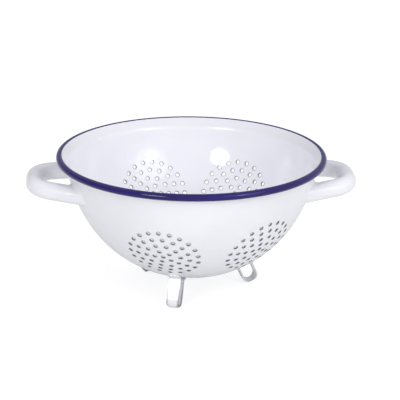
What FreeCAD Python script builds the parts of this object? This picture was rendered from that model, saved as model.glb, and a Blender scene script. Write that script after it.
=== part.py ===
import FreeCAD, Part
import math
import os

# Colander of enamelled sheet steel: a perforated bowl with a rolled coloured rim,
# two hollow tube handles and three strap feet, all welded on before enamelling.
# Millimetres and degrees. Z is the bowl's axis and points up, z = 0 is the surface
# that the feet stand on, X runs through both handles and the front faces -Y.
# An azimuth is counted from the front towards +X.

# Bowl and rim
rim_diameter = 241.5      # over the bead
rim_height = 123.7        # centre of the rolled bead above the table
bead_diameter = 6.4
wall = 1.2                # steel sheet with its enamel
shoulder = 30.6           # from upright, where the round bottom passes into the flatter wall
wall_lean = 7.0           # from upright, top of the wall
lip_lean = 33.0           # from upright, flared lip under the bead
lip_drop = 5.0            # crease between wall and lip, below the bead's centre
crease_radius = 8.0
bowl_clearance = 15.0     # table to the bowl's lowest point
colour_line = 57.0        # round the bead, from its inner side to where the colour starts
curl_end = 285.0          # round the bead, from its inner side to the curl's free edge

# Perforation: rosettes of rings round a centre hole
hole_diameter = 3.3
ring_pitch = 7.68         # along the bowl's outside
holes_per_ring_step = 5
# Azimuth, depression seen from the bowl's centre, turn and number of rings of each
# rosette. The six round the side are a little uneven, with one wider plain stretch, and
# the smaller one at the lowest point keeps clear of the feet.
rosette_places = (
    (-19.3, 37.3, 36.0, 4),
    (38.7, 36.3, 40.0, 4),
    (93.3, 35.7, 43.0, 4),
    (148.9, 35.0, 46.5, 4),
    (199.9, 35.7, 44.5, 4),
    (255.3, 35.7, 40.0, 4),
    (0.0, 90.0, 40.0, 3),
)

# Handles of bent tube
tube_diameter = 15.8
tube_wall = 1.2
grip_overhang = 18.8      # centreline of the grip bar beyond the rim
handle_drop = 21.0        # centreline of the grip bar below the bead's centre
handle_tilt = 3.4         # the bar is higher than the legs' roots
grip_length = 14.8        # straight part of the grip bar
bend_radius = 23.6
leg_splay = 21.7          # each leg opens towards the bowl
leg_root_share = 0.5      # inner end of a leg before trimming, of the rim's radius
weld_radius = 3.5
vent_diameter = 3.5       # lets the air out of the hollow handle in the kiln

# Feet of bent strap
foot_count = 3
foot_start = -18.3
foot_tilt = 25.1          # strap's axis from straight down, square to the bowl
strap_width = 10.8
strap_thickness = 1.4
strap_gap = 11.4          # between the two legs of a loop
strap_bend = 2.2          # centreline radius between leg and flange
strap_corner = 3.4        # rounding of the strap at the bottom of the loop
flange_length = 6.0
flange_corner = 3.0

overrun = 5.0             # cutters reach past what they cut
seam_tolerance = 0.001    # how near an edge lies to the seam that it is part of

V = FreeCAD.Vector
AXIS = V(0, 0, 1)
UPRIGHT = 90.0
HALF_TURN = 180.0
FULL_TURN = 360.0
X_AZIMUTH = 90.0


def sin(degrees):
    return math.sin(math.radians(degrees))


def cos(degrees):
    return math.cos(math.radians(degrees))


def tan(degrees):
    return math.tan(math.radians(degrees))


def polar(centre, radius, angle):
    return centre + V(radius * cos(angle), 0, radius * sin(angle))


def arc(centre, radius, start, end):
    middle = (start + end) / 2
    points = [polar(centre, radius, angle) for angle in (start, middle, end)]
    return Part.Arc(*points).toShape()


def line(start, end):
    return Part.LineSegment(start, end).toShape()


def face_between(near, far):
    """Face between two chains of edges that run the same way."""
    start = line(chain_start(near), chain_start(far))
    end = line(chain_end(near), chain_end(far))
    return Part.Face(Part.Wire(Part.__sortEdges__(near + far + [start, end])))


def chain_start(chain):
    return chain[0].valueAt(chain[0].FirstParameter)


def chain_end(chain):
    return chain[-1].valueAt(chain[-1].LastParameter)


# Section curve of the bowl, in the half plane of +X and Z
bead_radius = bead_diameter / 2
bead_centre = V(rim_diameter / 2 - bead_radius, 0, rim_height)
lip_top = bead_centre + V(-bead_radius * cos(lip_lean), 0, bead_radius * sin(lip_lean))
crease_height = rim_height - lip_drop
crease_reach = lip_top.x - (lip_top.z - crease_height) * tan(lip_lean)
floor_height = bowl_clearance + wall

# The round bottom and the flatter wall above it are two arcs that run smoothly into each
# other. Their radii follow from the lowest point, the crease and the two leans.
wall_rise = crease_height - floor_height
flat_reach = cos(wall_lean) - cos(shoulder)
flat_rise = sin(shoulder) - sin(wall_lean)
round_rise = 1 - sin(shoulder)
shared = flat_reach * round_rise - cos(shoulder) * flat_rise
wall_radius = (crease_reach * round_rise - cos(shoulder) * wall_rise) / shared
bowl_radius = (flat_reach * wall_rise - flat_rise * crease_reach) / shared
bowl_outer_radius = bowl_radius + wall
bowl_centre = V(0, 0, floor_height + bowl_radius)
wall_centre = polar(bowl_centre, bowl_radius - wall_radius, -shoulder)

# The crease is rounded against the wall's arc below it and the straight lip above it
crease_span = wall_radius + crease_radius
lip_distance = (lip_top - wall_centre).dot(V(cos(lip_lean), 0, -sin(lip_lean)))
crease_lean = lip_lean - math.degrees(math.acos((lip_distance + crease_radius) / crease_span))
crease_centre = polar(wall_centre, crease_span, -crease_lean)


def revolved(face):
    return face.revolve(V(0, 0, 0), AXIS, FULL_TURN)


def turned(shape, azimuth):
    """Turn a shape made over +X to its azimuth round the bowl."""
    return shape.rotated(V(0, 0, 0), AXIS, azimuth - X_AZIMUTH)


def wall_chain(offset):
    """Edges of the wall's section from the lowest point to the colour line."""
    crease = crease_radius - offset
    bead = bead_radius - offset
    lip_side = HALF_TURN - lip_lean
    return [
        arc(bowl_centre, bowl_radius + offset, -UPRIGHT, -shoulder),
        arc(wall_centre, wall_radius + offset, -shoulder, -crease_lean),
        arc(crease_centre, crease, HALF_TURN - crease_lean, lip_side),
        line(polar(crease_centre, crease, lip_side), polar(bead_centre, bead, lip_side)),
        arc(bead_centre, bead, lip_side, HALF_TURN - colour_line),
    ]


def bowl_sheet():
    return revolved(face_between(wall_chain(0), wall_chain(wall)))


def bowl_envelope():
    """The bowl's outer form filled solid, which trims what seats on it."""
    chain = wall_chain(wall)
    top = chain_end(chain)
    axis_edge = line(V(0, 0, top.z), chain_start(chain))
    edges = chain + [line(top, V(0, 0, top.z)), axis_edge]
    return revolved(Part.Face(Part.Wire(edges)))


def rosette(azimuth, depression, turn, rings):
    """Punches of one rosette, each square to the sheet: a centre hole and rings round it."""
    middle = V(cos(depression), 0, -sin(depression))
    along = V(0, 1, 0)
    up = V(sin(depression), 0, cos(depression))
    punches = [punch(middle)]
    for ring in range(1, rings + 1):
        spread = math.degrees(ring * ring_pitch / bowl_outer_radius)
        holes = ring * holes_per_ring_step
        for index in range(holes):
            angle = turn + index * FULL_TURN / holes
            aside = along * cos(angle) + up * sin(angle)
            punches.append(punch(middle * cos(spread) + aside * sin(spread)))
    return [turned(tool, azimuth) for tool in punches]


def punch(outward):
    base = bowl_centre + outward * (bowl_radius - overrun)
    return Part.makeCylinder(hole_diameter / 2, wall + 2 * overrun, base, outward)


def bowl():
    punches = []
    for place in rosette_places:
        punches += rosette(*place)
    return bowl_sheet().cut(punches)


def rim_bead():
    """Coloured curl: the sheet's edge rolled outward and down to just clear of the wall."""
    start = HALF_TURN - colour_line
    end = HALF_TURN - curl_end
    outer = arc(bead_centre, bead_radius, start, end)
    inner = arc(bead_centre, bead_radius - wall, start, end)
    return revolved(face_between([outer], [inner]))


def grip_middle():
    return V(rim_diameter / 2 + grip_overhang, 0, rim_height - handle_drop)


def handle_path():
    """Centreline of the right handle: leg, bend, grip bar, bend, leg."""
    bar = grip_middle()
    half_grip = grip_length / 2
    turn = UPRIGHT - leg_splay
    root = rim_diameter / 2 * leg_root_share

    def bend_point(side, angle):
        x = bar.x - bend_radius * (1 - cos(angle))
        return V(x, side * (half_grip + bend_radius * sin(angle)), bar.z)

    def leg_root(side):
        shoulder = bend_point(side, turn)
        return V(root, shoulder.y + side * (shoulder.x - root) * tan(leg_splay), bar.z)

    def bend(side):
        return [bend_point(side, angle) for angle in (0, turn / 2, turn)]

    near = bend(-1)
    far = bend(1)
    edges = [
        line(leg_root(-1), near[2]),
        Part.Arc(*reversed(near)).toShape(),
        line(near[0], far[0]),
        Part.Arc(*far).toShape(),
        line(far[2], leg_root(1)),
    ]
    return Part.Wire(edges).rotated(bar, V(0, 1, 0), -handle_tilt)


def swept_round(path, radius):
    start = chain_start(path.Edges)
    section = Part.Wire(Part.makeCircle(radius, start, path.Edges[0].tangentAt(0)))
    return path.makePipeShell([section], True, True)


def vent():
    return Part.makeCylinder(
        vent_diameter / 2, tube_diameter / 2 + overrun, grip_middle(), -AXIS
    )


def handle(envelope):
    path = handle_path()
    outside = swept_round(path, tube_diameter / 2)
    inside = swept_round(path, tube_diameter / 2 - tube_wall)
    return outside.cut(inside).cut([vent(), envelope])


def handle_welds(envelope):
    """Rounded welds where both legs of the right handle meet the bowl, front one first."""
    front = weld(handle_path().Edges[0], envelope)
    return front, front.mirror(V(0, 0, 0), V(0, 1, 0))


def weld(leg, envelope):
    """Metal that a rolling ball leaves in the corner between one straight leg and the bowl."""
    start = leg.valueAt(leg.FirstParameter)
    direction = leg.tangentAt(leg.FirstParameter)
    bar = Part.makeCylinder(tube_diameter / 2, leg.Length, start, direction)
    joined = envelope.fuse(bar)
    seam = envelope.section(bar)
    seam_edges = [edge for edge in joined.Edges if lies_on(edge, seam)]
    return joined.makeFillet(weld_radius, seam_edges).cut(joined).Solids[0]


def lies_on(edge, seam):
    middle = (edge.FirstParameter + edge.LastParameter) / 2
    points = [edge.valueAt(p) for p in (edge.FirstParameter, middle, edge.LastParameter)]
    return all(seam.distToShape(Part.Vertex(point))[0] < seam_tolerance for point in points)


def strap_section():
    """Section of a foot's strap, hanging straight down below the bowl's centre."""
    half = strap_thickness / 2
    sag = bowl_outer_radius - math.sqrt(bowl_outer_radius**2 - (strap_width / 2) ** 2)
    seat = bowl_outer_radius - sag + half
    leg = strap_gap / 2 + half
    loop_centre = bowl_centre - AXIS * loop_drop()
    bend_reach = leg + strap_bend
    bend_angle = math.degrees(math.asin(bend_reach / (seat + strap_bend)))
    bend_height = bowl_centre.z - math.sqrt((seat + strap_bend) ** 2 - bend_reach**2)
    end_angle = bend_angle + math.degrees(flange_length / seat)
    left = V(-bend_reach, 0, bend_height)
    right = V(bend_reach, 0, bend_height)

    def chain(offset):
        bend = strap_bend - offset
        side = leg + offset
        return [
            arc(bowl_centre, seat + offset, -UPRIGHT - end_angle, -UPRIGHT - bend_angle),
            arc(left, bend, UPRIGHT - bend_angle, 0),
            line(polar(left, bend, 0), polar(loop_centre, side, HALF_TURN)),
            arc(loop_centre, side, HALF_TURN, FULL_TURN),
            line(polar(loop_centre, side, 0), polar(right, bend, HALF_TURN)),
            arc(right, bend, HALF_TURN, UPRIGHT + bend_angle),
            arc(bowl_centre, seat + offset, -UPRIGHT + bend_angle, -UPRIGHT + end_angle),
        ]

    return face_between(chain(half), chain(-half))


def loop_drop():
    """Bowl's centre to the centre of a foot's loop, so that the loop just meets the table."""
    return (bowl_centre.z - strap_gap / 2 - strap_thickness) / cos(foot_tilt)


def rounded_prism(low, high, corner, direction):
    """Box whose four edges along one direction are rounded."""
    box = Part.makeBox(high.x - low.x, high.y - low.y, high.z - low.z, low)
    edges = [edge for edge in box.Edges if abs(edge.tangentAt(0).dot(direction)) > 0]
    return box.makeFillet(corner, edges)


def foot(azimuth, envelope):
    half_width = strap_width / 2
    strap = strap_section().extrude(V(0, strap_width, 0))
    strap.translate(V(0, -half_width, 0))
    box = strap.BoundBox
    top = box.ZMax + overrun
    plan = rounded_prism(
        V(box.XMin, -half_width, box.ZMin - overrun), V(box.XMax, half_width, top), flange_corner, AXIS
    )
    front = rounded_prism(
        V(box.XMin - overrun, -half_width, box.ZMin),
        V(box.XMax + overrun, half_width, top),
        strap_corner,
        V(1, 0, 0),
    )
    blank = strap.common(plan).common(front)
    hung = blank.rotated(bowl_centre, V(0, 1, 0), -foot_tilt)
    return turned(hung, azimuth).cut(envelope)


def half_turned(shape):
    return shape.rotated(V(0, 0, 0), AXIS, HALF_TURN)


def colander():
    envelope = bowl_envelope()
    right_handle = handle(envelope)
    front_weld, rear_weld = handle_welds(envelope)
    parts = {
        "bowl": bowl(),
        "rim_bead": rim_bead(),
        "handle_right": right_handle,
        "handle_left": half_turned(right_handle),
        "handle_right_front_weld": front_weld,
        "handle_right_rear_weld": rear_weld,
        "handle_left_front_weld": half_turned(rear_weld),
        "handle_left_rear_weld": half_turned(front_weld),
    }
    for index, name in enumerate(("foot_front", "foot_right", "foot_rear")):
        parts[name] = foot(foot_start + index * FULL_TURN / foot_count, envelope)
    return parts


os.makedirs("parts", exist_ok=True)
for name, shape in colander().items():
    shape.exportStep(f"parts/{name}.step")
    box = shape.BoundBox
    print(name, len(shape.Solids), shape.isValid(), round(shape.Volume, 1), box)
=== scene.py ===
import math

import bpy
from mathutils import Matrix, Vector

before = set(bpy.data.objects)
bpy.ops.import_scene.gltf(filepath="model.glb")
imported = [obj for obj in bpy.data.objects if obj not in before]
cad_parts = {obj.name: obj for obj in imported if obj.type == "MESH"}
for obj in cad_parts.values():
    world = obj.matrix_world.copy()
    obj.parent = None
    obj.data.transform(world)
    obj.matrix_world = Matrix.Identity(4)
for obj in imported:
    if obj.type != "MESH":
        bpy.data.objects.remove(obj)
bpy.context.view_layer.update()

# Camera, in metres in the part's frame
PHOTO_FOCAL = 1903.1                # pixels in the 400 x 400 frame
PHOTO_WIDTH = 400.0
SENSOR_WIDTH = 36.0                 # millimetres
CAMERA_PLACE = (-0.1084, -1.6203, 0.6267)
CAMERA_TARGET = (0.00805, -0.0005, 0.0825)
CAMERA_ROLL = 0.695                 # degrees
CAMERA_FAR = 50.0

# Colours of the part, linear
WHITE_ENAMEL = (0.845, 0.845, 0.88)
WHITE_ENAMEL_THIN = (0.815, 0.817, 0.85)
# Painted light: the inside of the bowl is a lighter copy of the outside white
INSIDE_PAINTED_LIGHT = (0.885, 0.885, 0.925)
INSIDE_PAINTED_LIGHT_THIN = (0.860, 0.862, 0.90)
# Painted shade: the lip under the rim is darker than the rest of the inside
LIP_PAINTED_SHADE = (0.805, 0.807, 0.84)
GROUND_COAT = (0.075, 0.078, 0.085)
BLUE_ENAMEL = (0.008, 0.001, 0.100)
BLUE_ENAMEL_THIN = (0.012, 0.004, 0.130)

# Gloss of the enamel
ENAMEL_IOR = 1.5
WHITE_SPECULAR = 0.6
BLUE_SPECULAR = 0.38
SMOOTHEST = 0.055                   # roughness
ROUGHEST = 0.115
BARE_ROUGHENING = 0.30              # added where the ground coat shows
CREASE_ROUGHENING = 0.16            # added in the crease under the rim

# Grain of the enamel, as scale and detail of a noise
MOTTLE_GRAIN = (22.0, 4.0)
GLOSS_GRAIN = (48.0, 3.0)
WEAR_GRAIN = (260.0, 3.0)
RIPPLE_GRAIN = (34.0, 1.0)
PEEL_GRAIN = (420.0, 1.0)
PEEL_SHARE = 0.05                   # of the ripple's height
BUMP_STRENGTH = 0.5
BUMP_HEIGHT = 0.0003

# Places on the part, in metres
BOWL_CENTRE = (0.0, 0.0, 0.1252)    # centre of the bowl's round lower part
LIP_HEIGHT = 0.1170                 # just under the crease below the rim
CREASE_HEIGHT = 0.1187
LIP_SHADE_FULL_HEIGHT = CREASE_HEIGHT + 0.002
CREASE_NEAR = 0.002                 # fully dull up to here from the crease
CREASE_FAR = 0.007                  # and not dull from here on
UPWARD = (0.0, 0.0, 1.0)

# Dark edges, where the enamel is drawn thin
EDGE_SAMPLES = 6
EDGE_FLAT = 0.98                    # how alike the two normals are on a flat face
EDGE_SHARP = 0.88                   # and on an edge
HOLE_RIM_RADIUS = 0.0020
HOLE_WALL_SHARE = 0.92
STRAP_EDGE_RADIUS = 0.0009
WORN_EDGE_RADIUS = 0.0032
WORN_LOW = 0.010                    # height of full wear
WORN_HIGH = 0.022                   # height of least wear
LEAST_WEAR = 0.3
LEAST_PATCH = 0.75

# Floor and surroundings, linear
WHITE = (1.0, 1.0, 1.0, 1.0)
FLOOR_SIZE = 8.0
FLOOR_COLOUR = (0.88, 0.885, 0.865)   # as it lights the part
FLOOR_SEEN = (0.36, 0.36, 0.365)      # as it shows, with a glow that makes it white
FLOOR_GLOW = 0.76
GLOSS_SEEN = 0.15                     # how far a gloss on the part shows that white
DIM_WALL = (0.34, 0.345, 0.36)
BRIGHT_WALL = (0.95, 0.95, 0.975)
CEILING = (0.82, 0.82, 0.865)
BRIGHT_SIDE = (0.68, -0.73, 0.0)      # the studio is brightest in front on the right
LAMP_DISTANCE = 1.6
LAMP_AIM = (0.0, 0.0, 0.09)


class Nodes:
    """A node tree with short ways to add nodes and join them."""

    def __init__(self, tree):
        self.tree = tree
        tree.nodes.clear()

    def add(self, kind, **settings):
        node = self.tree.nodes.new(kind)
        for key, value in settings.items():
            setattr(node, key, value)
        return node

    def link(self, output, socket):
        self.tree.links.new(output, socket)

    def feed(self, node, **values):
        """Sets or links inputs by name, with _ for a space."""
        for key, value in values.items():
            self.put(node.inputs[key.replace("_", " ")], value)

    def put(self, socket, value):
        if isinstance(value, bpy.types.NodeSocket):
            self.link(value, socket)
        else:
            socket.default_value = value

    def math(self, operation, first, second=0.0):
        node = self.add("ShaderNodeMath", operation=operation)
        self.put(node.inputs[0], first)
        self.put(node.inputs[1], second)
        return node.outputs[0]

    def vector(self, operation, first, second=(0.0, 0.0, 0.0), output="Vector"):
        node = self.add("ShaderNodeVectorMath", operation=operation)
        self.put(node.inputs[0], first)
        self.put(node.inputs[1], second)
        return node.outputs[output]

    def noise(self, place, grain):
        scale, detail = grain
        node = self.add("ShaderNodeTexNoise")
        self.feed(node, Vector=place, Scale=scale, Detail=detail)
        return node.outputs["Fac"]

    def remap(self, value, low, high, to_low, to_high, smooth=False):
        kind = "SMOOTHSTEP" if smooth else "LINEAR"
        node = self.add("ShaderNodeMapRange", interpolation_type=kind)
        self.feed(node, Value=value, From_Min=low, From_Max=high, To_Min=to_low, To_Max=to_high)
        return node.outputs["Result"]

    def ramp(self, value, low, high):
        """0 at the low value, rising smoothly to 1 at the high one."""
        return self.remap(value, low, high, 0.0, 1.0, smooth=True)

    def mix(self, share, first, second):
        node = self.add("ShaderNodeMix", data_type="RGBA")
        self.put(node.inputs["Factor"], share)
        self.put(node.inputs["A"], opaque(first))
        self.put(node.inputs["B"], opaque(second))
        return node.outputs["Result"]

    def facing(self, direction):
        """How far the surface faces along a direction: 1 along it, -1 against it."""
        true_normal = self.add("ShaderNodeNewGeometry").outputs["True Normal"]
        return self.vector("DOT_PRODUCT", direction, true_normal, "Value")

    def height(self, place):
        split = self.add("ShaderNodeSeparateXYZ")
        self.link(place, split.inputs["Vector"])
        return split.outputs["Z"]


def opaque(colour):
    if isinstance(colour, bpy.types.NodeSocket):
        return colour
    return (*colour, 1.0)


def new_material(name):
    material = bpy.data.materials.new(name)
    material.use_nodes = True
    return material, Nodes(material.node_tree)


# Where on the part a point lies

def edge_share(nodes, radius):
    """1 on a sharp edge, falling to 0 at about a third of the radius from it."""
    bevel = nodes.add("ShaderNodeBevel", samples=EDGE_SAMPLES)
    nodes.feed(bevel, Radius=radius)
    return nodes.ramp(nodes.facing(bevel.outputs["Normal"]), EDGE_FLAT, EDGE_SHARP)


def outward_facing(nodes, place):
    """How far a surface of the bowl faces away from its centre: 1 outside, -1 inside."""
    outward = nodes.vector("NORMALIZE", nodes.vector("SUBTRACT", place, BOWL_CENTRE))
    return nodes.facing(outward)


def hole_share(nodes, place):
    """1 on the walls of the drain holes, which lie square to the bowl, and 0 on its sheet."""
    facing = nodes.math("ABSOLUTE", outward_facing(nodes, place))
    return nodes.remap(facing, 0.15, 0.40, 1.0, 0.0, smooth=True)


def side_share(nodes, place):
    """1 on the cut sides of a foot's strap, which face along the bowl's round."""
    around = nodes.vector("NORMALIZE", nodes.vector("CROSS_PRODUCT", place, UPWARD))
    return nodes.ramp(nodes.math("ABSOLUTE", nodes.facing(around)), 0.80, 0.95)


# Colours of the enamel, with painted light and painted shade inside the bowl

def mottled(nodes, place, thick, thin):
    mottle = nodes.ramp(nodes.noise(place, MOTTLE_GRAIN), 0.35, 0.68)
    return nodes.mix(mottle, thick, thin)


def plain_white(nodes, place):
    return mottled(nodes, place, WHITE_ENAMEL, WHITE_ENAMEL_THIN)


def bowl_white_painted_light_and_shade(nodes, place):
    """White of the bowl: painted light inside, where it is a lighter copy of the outside white,
    and painted shade on the lip, where it is darker.
    """
    inside = mottled(nodes, place, INSIDE_PAINTED_LIGHT, INSIDE_PAINTED_LIGHT_THIN)
    # Painted shade on the lip under the rim, over the painted light of the inside
    lip_shade_share = nodes.ramp(nodes.height(place), LIP_HEIGHT, LIP_SHADE_FULL_HEIGHT)
    inside = nodes.mix(lip_shade_share, inside, LIP_PAINTED_SHADE)
    outer_share = nodes.remap(outward_facing(nodes, place), -0.3, 0.3, 0.0, 1.0)
    return nodes.mix(outer_share, inside, plain_white(nodes, place))


def rim_blue(nodes, place):
    return mottled(nodes, place, BLUE_ENAMEL, BLUE_ENAMEL_THIN)


# Where the dark ground coat shows

def patchy(nodes, place, share):
    """A share that comes and goes a little along an edge."""
    patches = nodes.remap(nodes.noise(place, WEAR_GRAIN), 0.30, 0.62, LEAST_PATCH, 1.0)
    return nodes.math("MULTIPLY", share, patches)


def sheet_bare(nodes, place):
    """The bowl shows its dark ground coat at the rims of the drain holes and inside them."""
    rims = patchy(nodes, place, edge_share(nodes, HOLE_RIM_RADIUS))
    walls = nodes.math("MULTIPLY", hole_share(nodes, place), HOLE_WALL_SHARE)
    below_lip = nodes.math("LESS_THAN", nodes.height(place), LIP_HEIGHT)
    return nodes.math("MULTIPLY", nodes.math("MAXIMUM", rims, walls), below_lip)


def strap_bare(nodes, place):
    """A foot shows a fine dark line along its edges."""
    return patchy(nodes, place, edge_share(nodes, STRAP_EDGE_RADIUS))


def worn_strap_bare(nodes, place):
    """A worn foot is dark along its edges and cut sides, most of all near the table."""
    edges = edge_share(nodes, WORN_EDGE_RADIUS)
    edges = nodes.math("MAXIMUM", edges, side_share(nodes, place))
    wear = nodes.remap(nodes.height(place), WORN_LOW, WORN_HIGH, 1.0, LEAST_WEAR, smooth=True)
    return patchy(nodes, place, nodes.math("MULTIPLY", edges, wear))


def crease_dulling(nodes, place):
    """Enamel that gathers in the crease under the rim is less even, which dulls its gloss."""
    above = nodes.math("SUBTRACT", nodes.height(place), CREASE_HEIGHT)
    away = nodes.math("ABSOLUTE", above)
    return nodes.remap(away, CREASE_NEAR, CREASE_FAR, CREASE_ROUGHENING, 0.0, smooth=True)


# The enamel itself

def enamel(name, paint, specular, bare=None, dulling=None):
    """Glossy fired enamel: a little wavy and mottled, and dark where its ground coat is bare."""
    material, nodes = new_material(name)
    place = nodes.add("ShaderNodeTexCoord").outputs["Object"]
    colour = paint(nodes, place)
    roughness = nodes.remap(nodes.noise(place, GLOSS_GRAIN), 0.3, 0.7, SMOOTHEST, ROUGHEST)
    if dulling:
        roughness = nodes.math("ADD", roughness, dulling(nodes, place))
    if bare:
        share = bare(nodes, place)
        colour = nodes.mix(share, colour, GROUND_COAT)
        roughening = nodes.math("MULTIPLY", share, BARE_ROUGHENING)
        roughness = nodes.math("ADD", roughness, roughening)

    ripple = nodes.noise(place, RIPPLE_GRAIN)
    peel = nodes.math("MULTIPLY", nodes.noise(place, PEEL_GRAIN), PEEL_SHARE)
    waves = nodes.math("ADD", ripple, peel)
    bump = nodes.add("ShaderNodeBump")
    nodes.feed(bump, Strength=BUMP_STRENGTH, Distance=BUMP_HEIGHT, Height=waves)

    shader = nodes.add("ShaderNodeBsdfPrincipled")
    nodes.feed(shader, Base_Color=colour, Roughness=roughness, Normal=bump.outputs["Normal"])
    nodes.feed(shader, IOR=ENAMEL_IOR, Specular_IOR_Level=specular)
    result = nodes.add("ShaderNodeOutputMaterial")
    nodes.link(shader.outputs["BSDF"], result.inputs["Surface"])
    return material


def dress(material, names):
    for name in names:
        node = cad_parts[name]
        for slot in node.material_slots:
            slot.material = material


# Floor, surroundings, lamps and camera

def seen_directly(nodes):
    """1 for what the camera sees, also through glass, a small share in a gloss, 0 for lighting."""
    path = nodes.add("ShaderNodeLightPath")
    gloss = nodes.math("MULTIPLY", path.outputs["Is Glossy Ray"], GLOSS_SEEN)
    through = nodes.math("MAXIMUM", gloss, path.outputs["Is Transmission Ray"])
    return nodes.math("MAXIMUM", path.outputs["Is Camera Ray"], through)


def floor_material():
    material, nodes = new_material("floor_white")
    seen = seen_directly(nodes)
    diffuse = nodes.add("ShaderNodeBsdfDiffuse")
    nodes.feed(diffuse, Color=nodes.mix(seen, FLOOR_COLOUR, FLOOR_SEEN))
    glow = nodes.add("ShaderNodeEmission")
    nodes.feed(glow, Color=WHITE, Strength=nodes.math("MULTIPLY", seen, FLOOR_GLOW))
    both = nodes.add("ShaderNodeAddShader")
    nodes.link(diffuse.outputs["BSDF"], both.inputs[0])
    nodes.link(glow.outputs["Emission"], both.inputs[1])
    result = nodes.add("ShaderNodeOutputMaterial")
    nodes.link(both.outputs["Shader"], result.inputs["Surface"])
    return material


def floor():
    """Wide plain floor: it shows white, and keeps a pale shadow."""
    size = FLOOR_SIZE
    mesh = bpy.data.meshes.new("floor")
    corners = [(-size, -size, 0), (size, -size, 0), (size, size, 0), (-size, size, 0)]
    mesh.from_pydata(corners, [], [(0, 1, 2, 3)])
    mesh.materials.append(floor_material())
    plane = bpy.data.objects.new("floor", mesh)
    bpy.context.scene.collection.objects.link(plane)


def studio():
    """Surroundings that show white, and light the part most from the front right."""
    world = bpy.data.worlds.new("studio")
    bpy.context.scene.world = world
    world.use_nodes = True
    nodes = Nodes(world.node_tree)
    direction = nodes.add("ShaderNodeTexCoord").outputs["Generated"]
    ahead = nodes.vector("DOT_PRODUCT", direction, BRIGHT_SIDE, "Value")
    walls = nodes.mix(nodes.ramp(ahead, -0.7, 0.8), DIM_WALL, BRIGHT_WALL)
    overhead = nodes.ramp(nodes.height(direction), 0.30, 0.80)
    light = nodes.add("ShaderNodeBackground")
    nodes.feed(light, Color=nodes.mix(overhead, walls, CEILING), Strength=1.0)
    white = nodes.add("ShaderNodeBackground")
    nodes.feed(white, Color=WHITE, Strength=1.0)
    choose = nodes.add("ShaderNodeMixShader")
    nodes.link(seen_directly(nodes), choose.inputs["Fac"])
    nodes.link(light.outputs["Background"], choose.inputs[1])
    nodes.link(white.outputs["Background"], choose.inputs[2])
    result = nodes.add("ShaderNodeOutputWorld")
    nodes.link(choose.outputs["Shader"], result.inputs["Surface"])


def lamp(name, azimuth, elevation, width, height, power):
    """Soft box that faces the bowl. Azimuth runs from the front towards +X, both in degrees."""
    light = bpy.data.lights.new(name, "AREA")
    light.shape = "ELLIPSE"
    light.size = width
    light.size_y = height
    light.energy = power
    box = bpy.data.objects.new(name, light)
    bpy.context.scene.collection.objects.link(box)
    turn = math.radians(azimuth)
    rise = math.radians(elevation)
    level = LAMP_DISTANCE * math.cos(rise)
    up = LAMP_DISTANCE * math.sin(rise)
    offset = Vector((level * math.sin(turn), -level * math.cos(turn), up))
    box.location = Vector(LAMP_AIM) + offset
    box.rotation_euler = (-offset).to_track_quat("-Z", "Y").to_euler()
    box.visible_camera = False


def camera():
    data = bpy.data.cameras.new("camera")
    data.sensor_fit = "HORIZONTAL"
    data.sensor_width = SENSOR_WIDTH
    data.lens = PHOTO_FOCAL / PHOTO_WIDTH * SENSOR_WIDTH
    data.clip_end = CAMERA_FAR
    eye = bpy.data.objects.new("camera", data)
    bpy.context.scene.collection.objects.link(eye)
    place = Vector(CAMERA_PLACE)
    ahead = Vector(CAMERA_TARGET) - place
    turn = ahead.to_track_quat("-Z", "Y").to_matrix().to_4x4()
    roll = Matrix.Rotation(math.radians(CAMERA_ROLL), 4, "Z")
    eye.matrix_world = Matrix.Translation(place) @ turn @ roll
    bpy.context.scene.camera = eye


# The bowl's white has painted light inside it and painted shade on its lip
sheet_white_painted_shading = enamel("white_enamel_sheet_painted_shading", bowl_white_painted_light_and_shade, WHITE_SPECULAR, sheet_bare, crease_dulling)
strap_white = enamel("white_enamel_strap", plain_white, WHITE_SPECULAR, strap_bare)
worn_white = enamel("white_enamel_worn", plain_white, WHITE_SPECULAR, worn_strap_bare)
tube_white = enamel("white_enamel_tube", plain_white, WHITE_SPECULAR)
blue = enamel("blue_enamel", rim_blue, BLUE_SPECULAR)

dress(sheet_white_painted_shading, ["bowl"])
dress(blue, ["rim_bead"])
dress(strap_white, ["foot_right"])
dress(worn_white, ["foot_front", "foot_rear"])
dress(tube_white, [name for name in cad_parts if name.startswith("handle_")])

floor()
studio()
lamp("front_left_box", azimuth=-34.3, elevation=22.0, width=0.53, height=0.38, power=5.2)
lamp("front_right_box", azimuth=39.0, elevation=20.0, width=0.28, height=0.19, power=1.6)
lamp("front_right_sheet", azimuth=42.0, elevation=26.0, width=1.00, height=0.80, power=3.0)
camera()

bpy.context.scene.view_settings.view_transform = "Standard"
